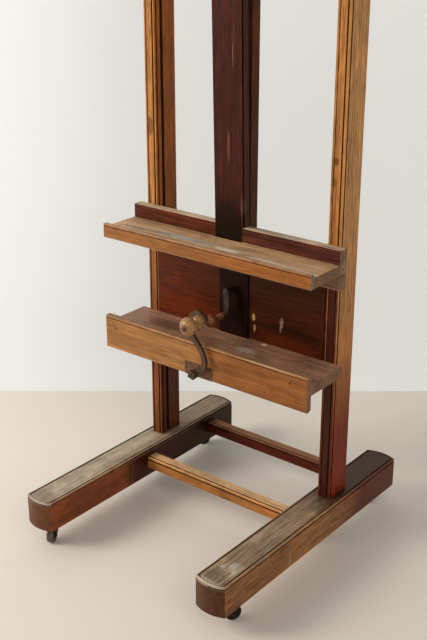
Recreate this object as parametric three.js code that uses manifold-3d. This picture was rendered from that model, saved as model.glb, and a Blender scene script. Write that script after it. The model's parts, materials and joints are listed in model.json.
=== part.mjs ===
// Studio easel on castors: two base rails, two uprights, a wound carriage with two trays,
// a canting mast in front of a fixed rack post, and a canvas clamp that slides on the mast.
// Millimetres, +Z up, front of the easel towards -Y, floor at z = 0.
import * as THREE from "three";
import { mergeVertices } from "three/addons/utils/BufferGeometryUtils.js";
import Module from "manifold-3d";

const wasm = await Module();
wasm.setup();

// ---- driving dimensions -------------------------------------------------------------------
const JOINT_GAP = 0.2; // glued or screwed faces
const SLIDE_GAP = 0.4; // faces that slide on each other
const BORE_GAP = 0.25; // radial clearance of a pin in its hole
const BEAD_R = 3.1; // radius of the corner bead
const QUIRK = 2.3; // width of the groove on either side of a bead

const CENTRE_X = -5; // the mast stands slightly left of the middle
const RAIL_X = 262;
const RAIL_W = 80;
const RAIL_LEN = 700;
const NOSE_RISE = 10; // how far the curved ends stand out
const RAIL_Z0 = 51;
const RAIL_Z1 = 127.3;

const UPRIGHT_SET = 1.2; // how far outside the middle of its rail an upright stands
const UPRIGHT_W = 33.2;
const UPRIGHT_Y0 = 78.9;
const UPRIGHT_D = 73.9;
const UPRIGHT_TOP = 1810;
const GROOVE_SET = 19.7; // front wall of the carriage groove, behind the upright's front
const GROOVE_W = 9.2;
const GROOVE_DEEP = 12;

const STRETCHER_SET = 21.9; // top of a stretcher below the top of the rails
const STRETCHER_H = 31.3;
const STRETCHER_FRONT = [-7.9, 26.5];
const STRETCHER_REAR = [241.6, 273.2];

const TRAY_PAST = 17.6; // how far the tray ends stand past the uprights
const TRAY_FRONT = -60.2;
const TRAY_Z0 = 701.7;
const TRAY_TOP = 727.6;
const TRAY_LIP_TOP = 736.6;
const TRAY_STRIP = 12.2;
const LEDGE_Y0 = 51.2;
const LEDGE_TOP = 760.4;
const BATTEN_Z0 = 666.5;
const BATTEN_H = 32.4;

const SHELF_PAST = 19; // and the shelf ends
const SHELF_FRONT = -61.7;
const SHELF_STRIP = 16.5;
const SHELF_Z0 = 454.2;
const SHELF_TOP = 482.1;
const SHELF_LIP_TOP = 501.7;
const SHELF_DROP = 417.1;
const SHELF_SPLIT = 46;

const APRON_Y0 = 74.5;
const APRON_T = 18;
const STILE_W = 84.6;
const STILE_Y0 = 70;
const POST_W = 78.7;
const POST_SET = 3.1; // front of the post behind the back of the mast
const POST_D = 26.6;
const POST_SHORT = 15; // top of the post below the tops of the uprights
const HEAD_H = 68;
const SLOT_TOP = 1345; // of the slot that the rack stands in
const POST_TAIL = 20; // of the post below its slot
const CASTOR_IN = 45; // castor stem in from the end of a rail

const MAST_W = 78.7;
const MAST_D = 27;
const MAST_LEAN = 1.53; // degrees forward of upright
const MAST_LEN = 1185; // above its pin
const MAST_LIP = 3.5; // front plate in front of the side grooves
const MAST_GROOVE = [6, 10]; // width, depth

const WINDER_Z = 431;
const PINION_TEETH = 10;
const MODULE = 3;
const LOCK_Z = 598;

// ---- what follows from them ---------------------------------------------------------------
const RAIL_IN = RAIL_X - RAIL_W / 2;
const UPRIGHT_X = RAIL_X + UPRIGHT_SET;
const UPRIGHT_IN = UPRIGHT_X - UPRIGHT_W / 2;
const UPRIGHT_OUT = UPRIGHT_X + UPRIGHT_W / 2;
const TRAY_HALF = UPRIGHT_OUT + TRAY_PAST;
const SHELF_HALF = UPRIGHT_OUT + SHELF_PAST;
const GROOVE_Y = UPRIGHT_Y0 + GROOVE_SET;
const STRETCHER_Z1 = RAIL_Z1 - STRETCHER_SET;
const BEAD_SET = 2 * BEAD_R + QUIRK;
const FRONT_OF_UPRIGHT = UPRIGHT_Y0 - JOINT_GAP;
const APRON_Y1 = APRON_Y0 + APRON_T;
const POST_Y0 = LEDGE_Y0 + MAST_D + POST_SET;
const POST_Y1 = POST_Y0 + POST_D;
const POST_TOP = UPRIGHT_TOP - POST_SHORT;
const CARRIAGE_BACK = POST_Y1 + 14.1;
const PITCH = Math.PI * MODULE;
const ROOT_DEPTH = (2.9 * MODULE) / 3; // of a tooth below the pitch line
const TIP_RISE = 0.7 * MODULE; // and above it
const RACK_Z0 = WINDER_Z - 4.5 * PITCH;
const SLOT_Z0 = RACK_Z0 - 2.6;
const POST_Z0 = SLOT_Z0 - POST_TAIL;
const PINION_R = (PINION_TEETH * MODULE) / 2;
const RACK_LINE = CENTRE_X - PINION_R;
const RACK_BACK = RACK_LINE - 5 - MODULE;
const SLOT_RIGHT = CENTRE_X + PINION_R + 4.5;
const PINION_Y = [POST_Y0 + 6.7, POST_Y0 + 19.7];
const MAST_PIN_Z = 712;
const MAST_PIN_Y = LEDGE_Y0 + MAST_D / 2;

// ---- finishes -----------------------------------------------------------------------------
const finish = {
  walnut: { color: 0x7a4a2a, roughness: 0.55, metalness: 0 },
  walnut_dark: { color: 0x4c281b, roughness: 0.5, metalness: 0 },
  walnut_light: { color: 0xa06e3e, roughness: 0.55, metalness: 0 },
  iron: { color: 0x3f3833, roughness: 0.6, metalness: 0.8 },
  iron_dark: { color: 0x1d1b1a, roughness: 0.5, metalness: 0.7 },
  turned: { color: 0xa9855a, roughness: 0.35, metalness: 0 },
};

const group = new THREE.Group();
group.name = "studio_easel";

function add(name, geometry, kind) {
  const mesh = new THREE.Mesh(geometry, new THREE.MeshStandardMaterial(finish[kind]));
  mesh.name = name;
  group.add(mesh);
}

// ---- geometry helpers ---------------------------------------------------------------------
const V = (x, y) => new THREE.Vector2(x, y);

function polygon(points, holes = []) {
  const shape = new THREE.Shape(points);
  for (const hole of holes) shape.holes.push(new THREE.Path(hole));
  return shape;
}

function circle(cx, cy, r, n = 24) {
  return Array.from({ length: n }, (_, i) => {
    const a = (2 * Math.PI * i) / n;
    return V(cx + r * Math.cos(a), cy + r * Math.sin(a));
  });
}

function extrude(shape, depth) {
  return new THREE.ExtrudeGeometry(shape, { depth, bevelEnabled: false, steps: 1 });
}

// shape drawn in x, y and raised from z0 to z1
function alongZ(shape, z0, z1) {
  return extrude(shape, z1 - z0).translate(0, 0, z0);
}

// shape drawn in x, z and carried from y0 back to y1
function alongY(shape, y0, y1) {
  return extrude(shape, y1 - y0).rotateX(Math.PI / 2).translate(0, y1, 0);
}

// shape drawn in y, z and carried from x0 to x1
function alongX(shape, x0, x1) {
  const m = new THREE.Matrix4().set(0, 0, 1, x0, 1, 0, 0, 0, 0, 1, 0, 0, 0, 0, 0, 1);
  return extrude(shape, x1 - x0).applyMatrix4(m);
}

function block(x0, x1, y0, y1, z0, z1) {
  const g = new THREE.BoxGeometry(x1 - x0, y1 - y0, z1 - z0);
  return g.translate((x0 + x1) / 2, (y0 + y1) / 2, (z0 + z1) / 2);
}

// profile of [radius, distance] pairs turned about the y axis
function turned(profile, n = 32) {
  return new THREE.LatheGeometry(profile.map(([r, y]) => V(r, y)), n);
}

function toManifold(geometry) {
  const g = geometry.clone();
  g.deleteAttribute("normal");
  g.deleteAttribute("uv");
  const m = mergeVertices(g, 1e-4);
  return new wasm.Manifold(new wasm.Mesh({
    numProp: 3,
    vertProperties: new Float32Array(m.attributes.position.array),
    triVerts: new Uint32Array(m.index.array),
  }));
}

function fromManifold(solid) {
  const mesh = solid.getMesh();
  const g = new THREE.BufferGeometry();
  g.setAttribute("position", new THREE.BufferAttribute(new Float32Array(mesh.vertProperties), 3));
  g.setIndex(new THREE.BufferAttribute(new Uint32Array(mesh.triVerts), 1));
  return g;
}

function joined(...parts) {
  return fromManifold(parts.map(toManifold).reduce((a, b) => a.add(b)));
}

function cut(body, ...tools) {
  return fromManifold(tools.map(toManifold).reduce((a, b) => a.subtract(b), toManifold(body)));
}

// rings of equal length joined into one closed skin
function loft(rings) {
  const n = rings[0].length;
  const pos = rings.flat().flat();
  const index = [];
  for (let k = 0; k + 1 < rings.length; k++) {
    for (let i = 0; i < n; i++) {
      const a = k * n + i;
      const b = k * n + ((i + 1) % n);
      index.push(a, b, b + n, a, b + n, a + n);
    }
  }
  const top = (rings.length - 1) * n;
  const flat = rings[0].map(([x, y]) => V(x, y));
  for (const [a, b, c] of THREE.ShapeUtils.triangulateShape(flat, [])) {
    index.push(a, c, b, top + a, top + b, top + c);
  }
  const g = new THREE.BufferGeometry();
  g.setAttribute("position", new THREE.Float32BufferAttribute(pos, 3));
  g.setIndex(index);
  return g;
}

// corner bead between two grooves: a is the way in, b the way out of a left-hand corner
function beadCorner(corner, a, b, steps = 9) {
  const at = (i, j) => V(corner.x + i * a.x + j * b.x, corner.y + i * a.y + j * b.y);
  const points = [at(-BEAD_SET, 0), at(-BEAD_SET, BEAD_R)];
  for (let k = 0; k <= steps; k++) {
    const t = (1.5 * Math.PI * k) / steps;
    points.push(at(-BEAD_R - BEAD_R * Math.cos(t), BEAD_R - BEAD_R * Math.sin(t)));
  }
  points.push(at(-BEAD_R, BEAD_SET), at(0, BEAD_SET));
  return points;
}

function roundCorner(corner, a, b, r, steps = 4) {
  const at = (i, j) => V(corner.x + i * a.x + j * b.x, corner.y + i * a.y + j * b.y);
  const points = [];
  for (let k = 0; k <= steps; k++) {
    const t = (0.5 * Math.PI * k) / steps;
    points.push(at(-r + r * Math.sin(t), r - r * Math.cos(t)));
  }
  return points;
}

const RIGHT = V(1, 0);
const LEFT = V(-1, 0);
const UP = V(0, 1);
const DOWN = V(0, -1);

// rectangle with its four corners eased; r lists bottom-left, bottom-right, top-right, top-left
function easedRect(x0, x1, y0, y1, [bl, br, tr, tl]) {
  return polygon([
    ...roundCorner(V(x0, y0), DOWN, RIGHT, bl),
    ...roundCorner(V(x1, y0), RIGHT, UP, br),
    ...roundCorner(V(x1, y1), UP, LEFT, tr),
    ...roundCorner(V(x0, y1), LEFT, DOWN, tl),
  ]);
}

function mirrorX(points) {
  return points.map((p) => V(-p.x, p.y)).reverse();
}

// ---- base ---------------------------------------------------------------------------------
// outline of a rail with curved ends, set in by d
function railRing(cx, d, z) {
  const half = RAIL_W / 2 - d;
  const full = RAIL_W / 2;
  const radius = (full * full + NOSE_RISE * NOSE_RISE) / (2 * NOSE_RISE);
  const centre = RAIL_LEN / 2 + NOSE_RISE - radius;
  const r = radius - d;
  const spread = Math.asin(half / r);
  const ring = [];
  for (const end of [-1, 1]) {
    for (let i = 0; i <= 10; i++) {
      const t = spread * (i / 5 - 1);
      ring.push([cx - end * r * Math.sin(t), end * (centre + r * Math.cos(t)), z]);
    }
  }
  return ring;
}

function rail(cx) {
  const rings = [[0, RAIL_Z0], [0, RAIL_Z1 - BEAD_SET], [BEAD_R, RAIL_Z1 - BEAD_SET]];
  for (let k = 0; k <= 9; k++) {
    const t = (1.5 * Math.PI * k) / 9;
    rings.push([BEAD_R - BEAD_R * Math.sin(t), RAIL_Z1 - BEAD_R - BEAD_R * Math.cos(t)]);
  }
  rings.push([BEAD_SET, RAIL_Z1 - BEAD_R], [BEAD_SET, RAIL_Z1]);
  return loft(rings.map(([d, z]) => railRing(cx, d, z)));
}

function stretcher([y0, y1]) {
  const z0 = STRETCHER_Z1 - STRETCHER_H;
  const section = polygon([
    ...roundCorner(V(y0, z0), DOWN, RIGHT, 3),
    V(y1, z0),
    ...roundCorner(V(y1, STRETCHER_Z1), UP, LEFT, 3),
    ...beadCorner(V(y0, STRETCHER_Z1), LEFT, DOWN),
  ]);
  return alongX(section, -RAIL_IN + JOINT_GAP, RAIL_IN - JOINT_GAP);
}

// right-hand section: inner face with the carriage groove, beads on both front corners
function uprightSection() {
  const x0 = UPRIGHT_IN;
  const x1 = UPRIGHT_IN + UPRIGHT_W;
  const y0 = UPRIGHT_Y0;
  const y1 = UPRIGHT_Y0 + UPRIGHT_D;
  return [
    ...beadCorner(V(x0, y0), DOWN, RIGHT),
    ...beadCorner(V(x1, y0), RIGHT, UP),
    ...roundCorner(V(x1, y1), UP, LEFT, 4),
    ...roundCorner(V(x0, y1), LEFT, DOWN, 4),
    V(x0, GROOVE_Y + GROOVE_W),
    V(x0 + GROOVE_DEEP, GROOVE_Y + GROOVE_W),
    V(x0 + GROOVE_DEEP, GROOVE_Y),
    V(x0, GROOVE_Y),
  ];
}

function headRail() {
  const section = easedRect(POST_Y1 + JOINT_GAP, POST_Y1 + 30, POST_TOP - 5 - HEAD_H, POST_TOP - 5, [4, 4, 4, 4]);
  return alongX(section, -UPRIGHT_IN + JOINT_GAP, UPRIGHT_IN - JOINT_GAP);
}

function rackPost() {
  const half = POST_W / 2;
  const outline = [
    V(CENTRE_X - half, POST_Z0), V(CENTRE_X + half, POST_Z0),
    V(CENTRE_X + half, POST_TOP), V(CENTRE_X - half, POST_TOP),
  ];
  const left = RACK_BACK - JOINT_GAP;
  const slot = [
    V(left, SLOT_Z0), V(left, SLOT_TOP), V(SLOT_RIGHT, SLOT_TOP), V(SLOT_RIGHT, SLOT_Z0),
  ];
  return alongY(polygon(outline, [slot]), POST_Y0, POST_Y1);
}

function rackStrip() {
  const root = RACK_LINE - ROOT_DEPTH;
  const tip = RACK_LINE + TIP_RISE + 0.1;
  const count = Math.floor((SLOT_TOP - 20 - RACK_Z0) / PITCH);
  const start = RACK_Z0 + PITCH / 2;
  const points = [V(RACK_BACK, RACK_Z0), V(root, RACK_Z0)];
  for (let i = 0; i < count; i++) {
    const z = start + i * PITCH;
    points.push(V(root, z + 0.26 * PITCH), V(tip, z + 0.41 * PITCH));
    points.push(V(tip, z + 0.59 * PITCH), V(root, z + 0.74 * PITCH));
  }
  points.push(V(root, start + (count + 0.5) * PITCH), V(RACK_BACK, start + (count + 0.5) * PITCH));
  return alongY(polygon(points), ...PINION_Y);
}

// ---- castors ------------------------------------------------------------------------------
const CASTOR = { wheelR: 19, wheelW: 15, trail: 22, armT: 2.4, pinR: 3, kingR: 5 };

function castorParts() {
  const { wheelR, wheelW, trail, armT, pinR, kingR } = CASTOR;
  const top = RAIL_Z0 - JOINT_GAP;
  const under = top - 2.6;
  const king = turned([
    [0, under - 7.6], [kingR + 2.6, under - 7.6], [kingR + 2.6, under - 5.2], [kingR, under - 5.2],
    [kingR, under + 1], [0, under + 1],
  ], 24).rotateX(Math.PI / 2);
  const plate = joined(alongZ(easedRect(-19, 19, -19, 19, [5, 5, 5, 5]), under, top), king);

  const inner = wheelW / 2 + 1.6;
  const side = [
    V(-10, under - 4.6), V(-10, under - 0.6), V(12, under - 0.6), V(trail + 6.8, wheelR + 1.5),
    V(trail + 4.8, wheelR - 4.8), V(trail - 0.5, wheelR - 6.8), V(trail - 6, wheelR - 3.4),
  ];
  const eye = circle(trail, wheelR, pinR + BORE_GAP, 20);
  const arm = (y) => alongY(polygon(side, [eye]), y, y + armT);
  const bridge = alongZ(
    polygon([V(-10, -inner - armT), V(12, -inner - armT), V(12, inner + armT), V(-10, inner + armT)],
      [circle(0, 0, kingR + BORE_GAP)]), under - 4.6, under - 0.6);
  const fork = joined(bridge, arm(inner), arm(-inner - armT));

  const w = inner + armT;
  const axle = turned([
    [0, -w - 2.4], [pinR + 1.6, -w - 1.4], [pinR + 1.6, -w - 0.25], [pinR, -w - 0.25],
    [pinR, w + 0.25], [pinR + 1.6, w + 0.25], [pinR + 1.6, w + 1.4], [0, w + 2.4],
  ], 20).translate(trail, 0, wheelR);

  const h = wheelW / 2;
  const bore = pinR + BORE_GAP;
  const wheel = turned([
    [bore, -h - 0.8], [8, -h - 0.8], [8, -h + 1.5], [14.5, -h + 1.5], [15.5, -h],
    [wheelR - 1.2, -h], [wheelR, -h + 1.6], [wheelR, h - 1.6], [wheelR - 1.2, h], [15.5, h],
    [14.5, h - 1.5], [8, h - 1.5], [8, h + 0.8], [bore, h + 0.8], [bore, -h - 0.8],
  ], 26).translate(trail, 0, wheelR);
  return { plate, fork, axle, wheel };
}

// side, end and the way each castor happens to trail, in degrees about +Z from +X
const CASTORS = {
  front_left: [-1, -1, -64],
  front_right: [1, -1, 62],
  rear_left: [-1, 1, -140],
  rear_right: [1, 1, 170],
};

function addCastors() {
  for (const [corner, [x, y, turn]] of Object.entries(CASTORS)) {
    const parts = castorParts();
    for (const [piece, g] of Object.entries(parts)) {
      if (piece !== "plate") g.rotateZ((turn * Math.PI) / 180);
      g.translate(x * RAIL_X, y * (RAIL_LEN / 2 - CASTOR_IN), 0);
      add(`castor_${corner}_${piece}`, g, piece === "wheel" ? "iron_dark" : "iron");
    }
  }
}

// ---- carriage -----------------------------------------------------------------------------
// upright slide bar with the tongue that runs in the upright's groove (right-hand section)
function runnerSection() {
  const x1 = UPRIGHT_IN - SLIDE_GAP;
  const x0 = x1 - 25;
  const y0 = APRON_Y1 + JOINT_GAP;
  const y1 = CARRIAGE_BACK;
  const reach = UPRIGHT_IN + GROOVE_DEEP - 1;
  const t0 = GROOVE_Y + SLIDE_GAP;
  const t1 = GROOVE_Y + GROOVE_W - SLIDE_GAP;
  return [V(x0, y0), V(x1, y0), V(x1, t0), V(reach, t0), V(reach, t1), V(x1, t1), V(x1, y1), V(x0, y1)];
}

// cross rail behind the aprons, notched round the rack post
function carriageRail(z0, z1) {
  const x = UPRIGHT_IN - SLIDE_GAP - 25 - JOINT_GAP;
  const y0 = APRON_Y1 + JOINT_GAP;
  const y1 = CARRIAGE_BACK;
  const n0 = CENTRE_X - POST_W / 2 - SLIDE_GAP;
  const n1 = CENTRE_X + POST_W / 2 + SLIDE_GAP;
  const notch = POST_Y1 + SLIDE_GAP;
  const outline = [V(-x, y0), V(n0, y0), V(n0, notch), V(n1, notch), V(n1, y0), V(x, y0), V(x, y1),
    V(-x, y1)];
  return alongZ(polygon(outline), z0, z1);
}

// apron board with thin edges behind the ledge and the batten
function apron(x0, x1) {
  const thin = UPRIGHT_Y0 + 0.3;
  const section = polygon([
    V(APRON_Y0, SHELF_TOP + JOINT_GAP), V(APRON_Y1, SHELF_TOP + JOINT_GAP), V(APRON_Y1, 745),
    V(thin, 745), V(thin, BATTEN_Z0 - JOINT_GAP), V(APRON_Y0, BATTEN_Z0 - JOINT_GAP),
  ]);
  return alongX(section, x0, x1);
}

function centreStile() {
  const x0 = CENTRE_X - STILE_W / 2;
  const x1 = CENTRE_X + STILE_W / 2;
  const z1 = MAST_PIN_Z - MAST_D / 2 - 1.3;
  const board = alongZ(
    easedRect(x0, x1, STILE_Y0, POST_Y0 - SLIDE_GAP, [1.5, 1.5, 0.2, 0.2]), SHELF_TOP + JOINT_GAP, z1);
  const hole = turned([[0, 60], [5 + BORE_GAP, 60], [5 + BORE_GAP, 90], [0, 90]], 24)
    .translate(CENTRE_X, 0, LOCK_Z);
  const recess = block(CENTRE_X - 31, CENTRE_X + 31, POST_Y0 - 5, POST_Y0 + 5, LOCK_Z - 19, LOCK_Z + 19);
  const neck = MAST_W / 2;
  const z0 = BATTEN_Z0 - JOINT_GAP;
  const shoulders = [
    block(x0 - 5, CENTRE_X - neck, 60, 90, z0, z1 + 5), block(CENTRE_X + neck, x1 + 5, 60, 90, z0, z1 + 5),
  ];
  return cut(board, hole, recess, ...shoulders);
}

function trayBoard() {
  const y0 = TRAY_FRONT + TRAY_STRIP + JOINT_GAP;
  const y1 = LEDGE_Y0 - JOINT_GAP;
  const board = block(-TRAY_HALF, TRAY_HALF, y0, y1, TRAY_Z0, TRAY_TOP);
  const half = MAST_W / 2 + 1.5;
  const relief = block(CENTRE_X - half, CENTRE_X + half, y1 - 4, y1 + 4, TRAY_Z0 - 5, TRAY_TOP + 5);
  return cut(board, relief);
}

function trayStrip() {
  const y0 = TRAY_FRONT;
  const y1 = TRAY_FRONT + TRAY_STRIP;
  const section = polygon([
    V(y0 + 1.5, TRAY_Z0), V(y1, TRAY_Z0), V(y1, TRAY_TOP + 1), V(y1 - 2, TRAY_LIP_TOP - 1),
    V(y1 - 3.5, TRAY_LIP_TOP), V(y0 + 1.5, TRAY_LIP_TOP), V(y0, TRAY_LIP_TOP - 1.5),
    V(y0, TRAY_LIP_TOP - 5), V(y0 + 1.6, TRAY_LIP_TOP - 6), V(y0, TRAY_LIP_TOP - 7), V(y0, TRAY_Z0 + 1.5),
  ]);
  return alongX(section, -TRAY_HALF, TRAY_HALF);
}

// a board standing in front of the uprights on one side of the mast
function sideBoard(side, z0, z1, corners) {
  const inner = side > 0 ? CENTRE_X + MAST_W / 2 + SLIDE_GAP : CENTRE_X - MAST_W / 2 - SLIDE_GAP;
  const [x0, x1] = side > 0 ? [inner, TRAY_HALF] : [-TRAY_HALF, inner];
  return alongX(easedRect(LEDGE_Y0, FRONT_OF_UPRIGHT, z0, z1, corners), x0, x1);
}

function ledge(side) {
  const board = sideBoard(side, TRAY_Z0, LEDGE_TOP, [0.3, 0.3, 3.5, 1.5]);
  const x = CENTRE_X + side * (MAST_W / 2 + 14);
  const hole = block(x - 16, x + 16, MAST_PIN_Y - 5, MAST_PIN_Y + 5, MAST_PIN_Z - 5, MAST_PIN_Z + 5);
  return cut(board, hole);
}

function shelfBoard() {
  const y0 = SHELF_FRONT + SHELF_STRIP + JOINT_GAP;
  return block(-SHELF_HALF, SHELF_HALF, y0, SHELF_SPLIT - JOINT_GAP, SHELF_Z0, SHELF_TOP);
}

function shelfBatten() {
  const section = easedRect(SHELF_SPLIT, FRONT_OF_UPRIGHT, SHELF_Z0, SHELF_TOP, [0.3, 6, 2, 0.3]);
  return alongX(section, -SHELF_HALF, SHELF_HALF);
}

function shelfStrip() {
  const y0 = SHELF_FRONT;
  const y1 = SHELF_FRONT + SHELF_STRIP;
  const top = SHELF_LIP_TOP;
  const section = polygon([
    V(y0 + 2, SHELF_DROP), V(y1 - 4, SHELF_DROP), V(y1, SHELF_DROP + 5), V(y1, top - 2), V(y1 - 2, top),
    V(y0 + 1.5, top), V(y0, top - 1.5), V(y0, top - 5), V(y0 + 1.4, top - 6), V(y0, top - 7),
    V(y0, SHELF_DROP + 2),
  ]);
  const board = alongX(section, -SHELF_HALF, SHELF_HALF);
  const hole = turned([[0, y0 - 5], [6.5, y0 - 5], [6.5, y1 + 5], [0, y1 + 5]], 24)
    .translate(CENTRE_X, 0, WINDER_Z);
  const seat = block(CENTRE_X - 41, CENTRE_X + 41, y0 - 5, y0 + 2.2, SHELF_DROP - 5, SHELF_DROP + 33);
  return cut(board, hole, seat);
}

function crankPlate() {
  const outline = [
    V(CENTRE_X - 40.7, SHELF_DROP + 0.5), V(CENTRE_X + 40.7, SHELF_DROP + 0.5),
    V(CENTRE_X + 40.7, SHELF_DROP + 32.7), V(CENTRE_X - 40.7, SHELF_DROP + 32.7),
  ];
  const hole = circle(CENTRE_X, WINDER_Z, 6 + BORE_GAP);
  return alongY(polygon(outline, [hole]), SHELF_FRONT - 1, SHELF_FRONT + 2);
}

function addCarriage() {
  add("runner_right", alongZ(polygon(runnerSection()), 404, 745), "walnut_dark");
  add("runner_left", alongZ(polygon(mirrorX(runnerSection())), 404, 745), "walnut_dark");
  add("carriage_rail_upper", carriageRail(690, 735), "walnut_dark");
  const bearing = turned([
    [0, POST_Y0], [6 + BORE_GAP, POST_Y0], [6 + BORE_GAP, CARRIAGE_BACK + 8], [0, CARRIAGE_BACK + 8],
  ], 24)
    .translate(CENTRE_X, 0, WINDER_Z);
  add("carriage_rail_lower", cut(carriageRail(408, 453), bearing), "walnut_dark");
  const edge = UPRIGHT_IN - 1.1;
  const gap = STILE_W / 2 + JOINT_GAP;
  add("apron_left", apron(-edge, CENTRE_X - gap), "walnut");
  add("apron_right", apron(CENTRE_X + gap, edge), "walnut");
  add("centre_stile", centreStile(), "walnut_dark");
  add("tray_board", trayBoard(), "walnut");
  add("tray_front_strip", trayStrip(), "walnut_light");
  add("tray_ledge_left", ledge(-1), "walnut");
  add("tray_ledge_right", ledge(1), "walnut");
  const under = BATTEN_Z0 + BATTEN_H;
  add("tray_batten_left", sideBoard(-1, BATTEN_Z0, under, [6, 6, 2, 2]), "walnut");
  add("tray_batten_right", sideBoard(1, BATTEN_Z0, under, [6, 6, 2, 2]), "walnut");
  add("shelf_board", shelfBoard(), "walnut");
  add("shelf_batten", shelfBatten(), "walnut");
  add("shelf_front_board", shelfStrip(), "walnut_light");
  add("crank_plate", crankPlate(), "iron");
}

// ---- winding gear -------------------------------------------------------------------------
const ARM_Y = [-80, -72];
const GRIP_AT = V(26, 576);
const NUT_AF = 17;

function winderShaft() {
  const round = turned([
    [0, ARM_Y[1] + 0.4], [6, ARM_Y[1] + 0.4], [6, CARRIAGE_BACK + 0.6], [10, CARRIAGE_BACK + 0.6],
    [10, CARRIAGE_BACK + 5], [0, CARRIAGE_BACK + 5],
  ], 28);
  const square = block(-4.3, 4.3, ARM_Y[0] + 0.3, ARM_Y[1] + 2, -4.3, 4.3);
  const thread = turned([[0, -91], [3.6, -91], [4, -90], [4, -70], [0, -70]], 20);
  return joined(round, square, thread).translate(CENTRE_X, 0, WINDER_Z);
}

function pinion() {
  const root = PINION_R - ROOT_DEPTH;
  const tip = PINION_R + TIP_RISE;
  const points = [];
  for (let i = 0; i < PINION_TEETH; i++) {
    const at = (turn, r) => {
      const a = Math.PI + ((i + turn) * 2 * Math.PI) / PINION_TEETH;
      points.push(V(r * Math.cos(a), r * Math.sin(a)));
    };
    at(-0.28, root);
    at(-0.21, PINION_R - 0.27 * MODULE);
    at(-0.09, tip);
    at(0.09, tip);
    at(0.21, PINION_R - 0.27 * MODULE);
    at(0.28, root);
  }
  const wheel = polygon(points, [circle(0, 0, 6 + BORE_GAP)]);
  return alongY(wheel, ...PINION_Y).translate(CENTRE_X, 0, WINDER_Z);
}

// flat bar following a curve in x, z, with a width that changes along it
function curvedBar(path, width, y0, y1, n = 36) {
  const left = [];
  const right = [];
  for (let i = 0; i <= n; i++) {
    const t = i / n;
    const p = path.getPoint(t);
    const d = path.getTangent(t);
    const w = width(t) / 2;
    left.push(V(p.x - d.y * w, p.y + d.x * w));
    right.push(V(p.x + d.y * w, p.y - d.x * w));
  }
  return alongY(polygon([...right, ...left.reverse()]), y0, y1);
}

function disc(cx, cz, r, y0, y1, n = 28) {
  return turned([[0, y0], [r, y0], [r, y1], [0, y1]], n).translate(cx, 0, cz);
}

function winderArm() {
  const path = new THREE.SplineCurve([
    V(CENTRE_X, WINDER_Z), V(17, 445), V(26, 470), V(13, 500), V(-8, 524), V(-16, 552), V(-8, 580),
    V(10, 588), V(GRIP_AT.x, GRIP_AT.y),
  ]);
  const bar = curvedBar(path, (t) => 13 - 4 * t, ...ARM_Y);
  const hub = disc(CENTRE_X, WINDER_Z, 11, ...ARM_Y);
  const eye = disc(GRIP_AT.x, GRIP_AT.y, 9, ...ARM_Y);
  const square = block(-4.5, 4.5, -90, -60, -4.5, 4.5).translate(CENTRE_X, 0, WINDER_Z);
  const hole = disc(GRIP_AT.x, GRIP_AT.y, 4 + BORE_GAP, -90, -60);
  return cut(joined(bar, hub, eye), square, hole);
}

function winderNut() {
  const h = NUT_AF / 2;
  const outline = [V(-h, -h), V(h, -h), V(h, h), V(-h, h)];
  const g = alongY(polygon(outline, [circle(0, 0, 4 + BORE_GAP)]), -89, ARM_Y[0] - JOINT_GAP);
  return g.rotateY(0.3).translate(CENTRE_X, 0, WINDER_Z);
}

// pin that carries a turned grip, headed at both ends; from the back of the arm to its front end
function gripPin(r, head, y0, y1) {
  return turned([
    [0, y0 - 2.5], [head * 0.7, y0 - 2.2], [head, y0 - 0.6], [head, y0], [r, y0], [r, y1], [head, y1],
    [head, y1 + 2], [0, y1 + 2],
  ], 24);
}

// small bead nearest the arm, a neck, and a large end knob
function winderGrip() {
  const r = 4 + BORE_GAP;
  const profile = [[r, -81], [8, -81]];
  for (let k = 1; k <= 9; k++) {
    const t = (Math.PI * (k + 0.6)) / 10.6;
    profile.push([16 * Math.sin(t), -97 + 15.5 * Math.cos(t)]);
  }
  profile.push([7.5, -114.5]);
  for (let k = 1; k <= 11; k++) {
    const t = (Math.PI * (k + 0.4)) / 12.4;
    profile.push([21.5 * Math.sin(t), -132.5 + 17.5 * Math.cos(t)]);
  }
  profile.push([7, -150], [r, -150], [r, -81]);
  return turned(profile.reverse(), 28).translate(GRIP_AT.x, 0, GRIP_AT.y);
}

function addWinder() {
  add("winder_shaft", winderShaft(), "iron");
  add("winder_pinion", pinion(), "iron");
  add("winder_crank_arm", winderArm(), "iron");
  add("winder_nut", winderNut(), "iron");
  add("winder_grip_pin", gripPin(4, 6.6, -150.4, ARM_Y[1] + 0.3).translate(GRIP_AT.x, 0, GRIP_AT.y), "iron");
  add("winder_grip", winderGrip(), "turned");
}

// ---- carriage lock ------------------------------------------------------------------------
const LOCK_ARM_Y = [41, 46.5];
const LOCK_GRIP = V(CENTRE_X - 4, 541);

function lockScrew() {
  return turned([
    [0, 38.5], [4.2, 38.5], [5, 39.5], [5, 47], [8.5, 47], [8.5, 64], [7, 69.4], [5, 69.4],
    [5, POST_Y0 - 5.4], [0, POST_Y0 - 5.4],
  ], 28).translate(CENTRE_X, 0, LOCK_Z);
}

function lockArm() {
  const path = new THREE.SplineCurve([
    V(CENTRE_X, LOCK_Z), V(CENTRE_X + 1, 585), V(CENTRE_X + 1.5, 568), V(CENTRE_X + 1, 551),
    V(LOCK_GRIP.x, LOCK_GRIP.y),
  ]);
  const bar = curvedBar(path, (t) => 11 + 5 * Math.sin(Math.PI * Math.min(1, t * 1.3)), ...LOCK_ARM_Y, 20);
  const eye = disc(CENTRE_X, LOCK_Z, 9, ...LOCK_ARM_Y);
  const foot = disc(LOCK_GRIP.x, LOCK_GRIP.y, 7, ...LOCK_ARM_Y);
  const holes = [
    disc(CENTRE_X, LOCK_Z, 5 + BORE_GAP, 30, 60), disc(LOCK_GRIP.x, LOCK_GRIP.y, 3 + BORE_GAP, 30, 60),
  ];
  return cut(joined(bar, eye, foot), ...holes);
}

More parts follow.
